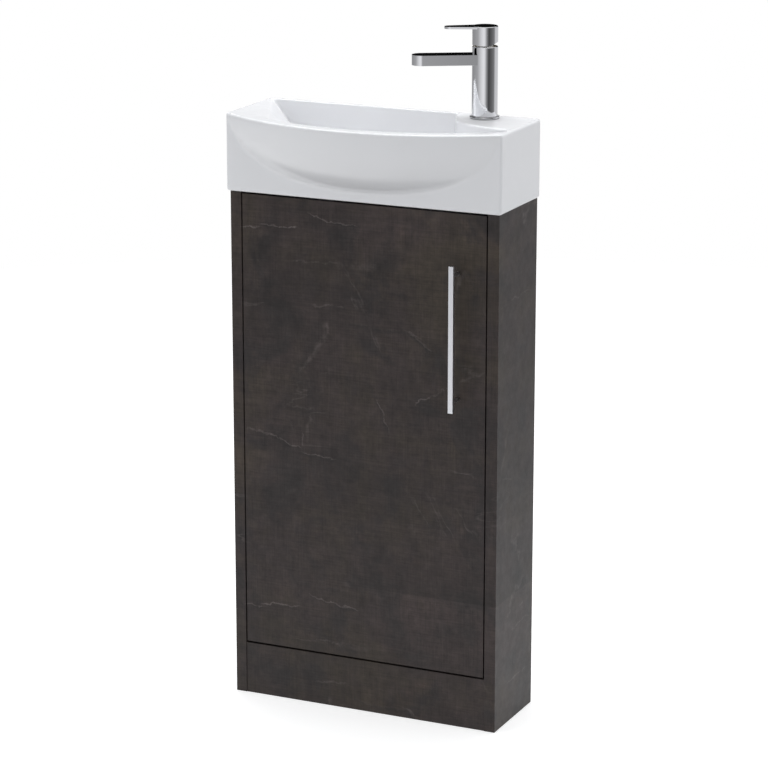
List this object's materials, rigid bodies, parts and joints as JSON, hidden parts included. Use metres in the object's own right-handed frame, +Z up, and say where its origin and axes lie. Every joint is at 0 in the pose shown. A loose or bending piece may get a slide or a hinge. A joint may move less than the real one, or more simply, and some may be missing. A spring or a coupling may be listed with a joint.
{
  "type": "freestanding vanity unit",
  "caption": "Compact floor-standing cloakroom vanity: slim cabinet with one hinged door, bow-front basin with a tap ledge, mixer tap and push-plug waste.",
  "frame": {"origin": "on the floor, at the middle of the width and of the depth over the basin's bow", "axes": "+Z up, -Y to the front, +X to the right seen from the front; the wall is the plane y = +112 mm"},
  "size_m": [0.451, 0.224, 1.0627],
  "materials": {
    "slate_board": "matt stone-effect faced board",
    "ceramic": "white gloss glaze",
    "chrome": "polished",
    "satin_metal": "satin",
    "steel": "nickel plated",
    "brass": "turned",
    "rubber": "matt",
    "white_plastic": "moulded",
    "timber": "fluted beech"
  },
  "bodies": {
    "carcass": {"left_side_panel": "slate_board", "right_side_panel": "slate_board", "bottom_panel": "slate_board", "plinth_panel": "slate_board", "front_top_rail": "slate_board", "rear_top_rail": "slate_board", "rear_bottom_rail": "slate_board", "shelf": "slate_board", "shelf_pegs": "steel", "cam_locks": "steel", "cam_bolts": "steel", "wall_brackets": "steel", "bracket_screws": "steel", "upper_hinge_plate": "steel", "lower_hinge_plate": "steel", "upper_hinge_arm": "steel", "lower_hinge_arm": "steel", "hinge_arm_pins": "steel", "hinge_plate_screws": "steel", "hinge_arm_screws": "steel", "tap_stud": "steel", "horseshoe_plate": "steel", "dowels": "timber", "door_buffers": "white_plastic", "aerator_core": "white_plastic", "tap_cartridge": "white_plastic", "basin": "ceramic", "waste_body": "chrome", "tap_body": "chrome", "tap_base_ring": "chrome", "aerator_housing": "chrome", "waste_flange_seal": "rubber", "waste_washer": "rubber", "tap_base_seal": "rubber", "horseshoe_washer": "rubber", "waste_backnut": "brass", "cartridge_nut": "brass", "tap_nut": "brass"},
    "outer_links": {"upper_outer_link": "steel", "lower_outer_link": "steel"},
    "inner_links": {"upper_inner_link": "steel", "lower_inner_link": "steel"},
    "door": {"door": "slate_board", "handle_bar": "satin_metal", "handle_posts": "satin_metal", "handle_screws": "steel", "upper_hinge_cup": "steel", "lower_hinge_cup": "steel", "hinge_cup_pins": "steel", "hinge_cup_screws": "steel"},
    "tap_turret": {"cartridge_turret": "white_plastic", "turret_pin": "steel"},
    "tap_handle": {"lever_stem": "steel", "tap_lever": "chrome", "grub_screw": "steel", "index_cap": "steel"},
    "plug": {"waste_plug": "chrome", "plug_seal": "rubber"}
  },
  "joints": [
    {"name": "outer_link_swing", "type": "hinge", "parent": "carcass", "child": "outer_links", "pos_m": [-0.1775, -0.0045, 0.4435], "axis": [0, 0, 1], "range_deg": [0, 31]},
    {"name": "door_swing", "type": "hinge", "parent": "outer_links", "child": "door", "pos_m": [-0.191, -0.025, 0.4435], "axis": [0, 0, -1], "range_deg": [0, 122]},
    {"name": "inner_link_swing", "type": "hinge", "parent": "carcass", "child": "inner_links", "pos_m": [-0.161, -0.0115, 0.4435], "axis": [0, 0, 1], "range_deg": [0, 39.5]},
    {"name": "lever_turn", "type": "hinge", "parent": "carcass", "child": "tap_turret", "pos_m": [0.1465, 0.082, 1.0337], "axis": [0, 0, 1], "range_deg": [-45, 45]},
    {"name": "lever_lift", "type": "hinge", "parent": "tap_turret", "child": "tap_handle", "pos_m": [0.1465, 0.082, 1.0379], "axis": [-0.5, 0.866, 0], "range_deg": [0, 20]},
    {"name": "plug_lift", "type": "slide", "parent": "carcass", "child": "plug", "axis": [0, 0, 1], "range_m": [0, 0.008]}
  ],
  "couplings": [
    {"joint": "outer_link_swing", "follows": "door_swing", "ratio": 0.25373},
    {"joint": "inner_link_swing", "follows": "door_swing", "ratio": 0.3209}
  ]
}
